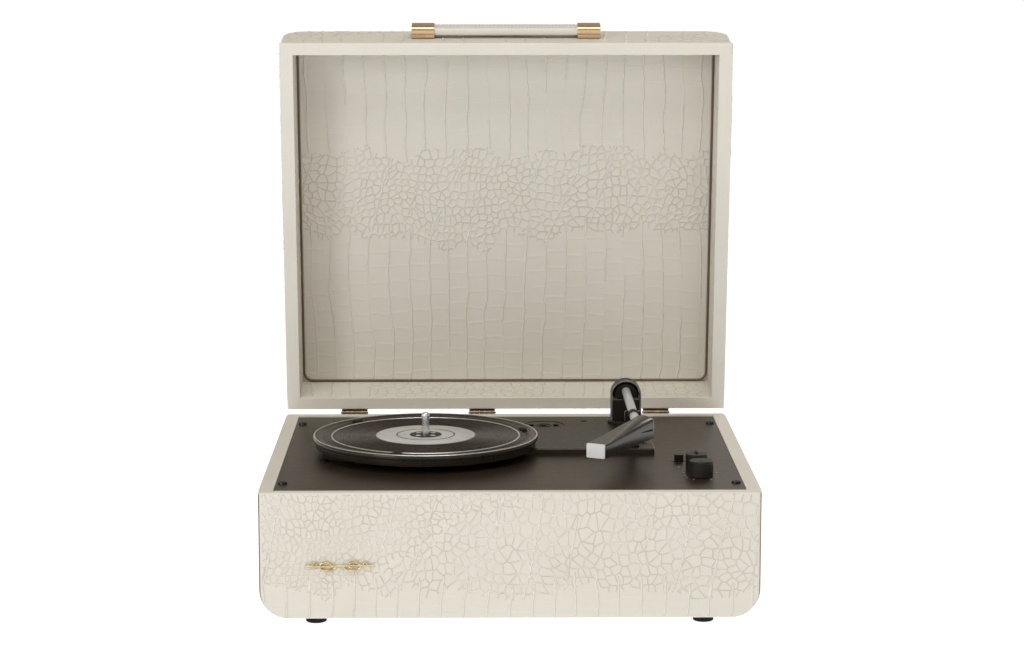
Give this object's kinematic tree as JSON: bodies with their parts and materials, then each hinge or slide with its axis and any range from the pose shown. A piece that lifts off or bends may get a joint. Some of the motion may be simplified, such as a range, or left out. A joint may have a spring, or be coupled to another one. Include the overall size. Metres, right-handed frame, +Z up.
{
  "type": "suitcase record player",
  "caption": "Suitcase record player: padded-look cream case with hinged lid and strap handle, satin black deck, belt-driven platter, straight tonearm and rotary controls.",
  "frame": {"origin": "On the floor, below the middle of the whole object's box with the lid open", "axes": "+X to the right seen from the front, +Y to the back, +Z up; the front face looks along -Y"},
  "size_m": [0.42, 0.4197, 0.4878],
  "materials": {
    "vinyl": "embossed satin cream leatherette",
    "strap_vinyl": "smooth cream leatherette",
    "board": "raw fibreboard",
    "deck_paint": "satin brown-black",
    "black_plastic": "fine matte",
    "gloss_black": "gloss",
    "platter_plastic": "satin with bright rings",
    "label_grey": "satin grey",
    "cartridge_white": "satin light grey",
    "stylus_red": "gloss",
    "chrome": "polished",
    "steel": "zinc plated",
    "silver_tube": "satin anodised",
    "brass": "brushed rose brass",
    "black_screw": "blackened",
    "rubber": "matte",
    "paper_cone": "pressed paper",
    "board_green": "solder mask"
  },
  "bodies": {
    "base": {"base_shell": "vinyl", "base_front_board": "vinyl", "base_rear_board": "vinyl", "base_magnets": "steel", "hinge_rail": "vinyl", "corner_blocks": "board", "feet": "rubber", "foot_screws": "steel", "front_badge": "brass", "deck_plate": "deck_paint", "deck_screws": "black_screw", "mechanism_plate": "black_plastic", "mechanism_screws": "steel", "spindle_bearing": "brass", "motor": "steel", "drive_belt": "rubber", "arm_flange": "black_plastic", "arm_rest": "black_plastic", "volume_pot": "steel", "selector_switch": "steel", "speed_switch": "black_plastic", "main_board": "board_green", "connector_panel": "black_plastic", "rca_jacks": "brass", "barrel_jacks": "gloss_black", "speaker_frames": "steel", "speaker_cones": "paper_cone", "speaker_grilles": "black_plastic", "hinge_base_leaves": "steel", "hinge_base_screws": "steel", "hinge_pins": "steel"},
    "lid": {"lid_shell": "vinyl", "lid_front_board": "vinyl", "lid_rear_board": "vinyl", "lid_magnets": "steel", "lid_lining": "vinyl", "hinge_lid_leaves": "steel", "hinge_lid_screws": "steel", "handle_caps": "brass", "handle_screws": "steel"},
    "handle": {"handle_strap": "strap_vinyl"},
    "turntable": {"platter": "platter_plastic", "platter_label": "label_grey", "platter_pads": "rubber", "spindle": "chrome"},
    "pulley": {"motor_pulley": "brass"},
    "adapter": {"record_adapter": "black_plastic"},
    "arm_base": {"arm_hood": "black_plastic", "arm_pivot_pins": "steel"},
    "arm": {"arm_pivot_block": "black_plastic", "counterweight": "steel", "arm_tube": "silver_tube", "headshell": "gloss_black", "cartridge": "cartridge_white", "stylus": "stylus_red"},
    "volume": {"volume_knob": "black_plastic", "volume_shaft": "steel"},
    "selector": {"selector_knob": "black_plastic", "selector_shaft": "steel"},
    "speed": {"speed_lever": "black_plastic"}
  },
  "joints": [
    {"name": "lid_hinge", "type": "hinge", "parent": "base", "child": "lid", "pos_m": [0, 0.15065, 0.116], "axis": [-1, 0, 0], "range_deg": [-81.9, 0]},
    {"name": "handle_lift", "type": "slide", "parent": "lid", "child": "handle", "axis": [0, -0.1409, 0.99], "range_m": [0, 0.004]},
    {"name": "platter_spin", "type": "hinge", "parent": "base", "child": "turntable", "pos_m": [-0.0732, -0.03555, 0.116], "axis": [0, 0, -1], "continuous": true},
    {"name": "pulley_spin", "type": "hinge", "parent": "base", "child": "pulley", "pos_m": [-0.135, 0.00145, 0.116], "axis": [0, 0, -1], "continuous": true},
    {"name": "adapter_lift", "type": "slide", "parent": "base", "child": "adapter", "axis": [0, 0, 1], "range_m": [0, 0.012]},
    {"name": "arm_swing", "type": "hinge", "parent": "base", "child": "arm_base", "pos_m": [0.1105, 0.07345, 0.116], "axis": [0, 0, -1], "range_deg": [0, 36]},
    {"name": "arm_lift", "type": "hinge", "parent": "arm_base", "child": "arm", "pos_m": [0.1105, 0.07345, 0.1475], "axis": [-1, 0, 0], "range_deg": [0, 9]},
    {"name": "volume_turn", "type": "hinge", "parent": "base", "child": "volume", "pos_m": [0.1635, -0.14355, 0.116], "axis": [0, 0, -1], "range_deg": [-150, 150]},
    {"name": "selector_turn", "type": "hinge", "parent": "base", "child": "selector", "pos_m": [0.1615, -0.11855, 0.116], "axis": [0, 0, -1], "range_deg": [-30, 30]},
    {"name": "speed_slide", "type": "slide", "parent": "base", "child": "speed", "axis": [1, 0, 0], "range_m": [-0.004, 0.004]}
  ],
  "couplings": [
    {"joint": "pulley_spin", "follows": "platter_spin", "ratio": 8.7477}
  ]
}
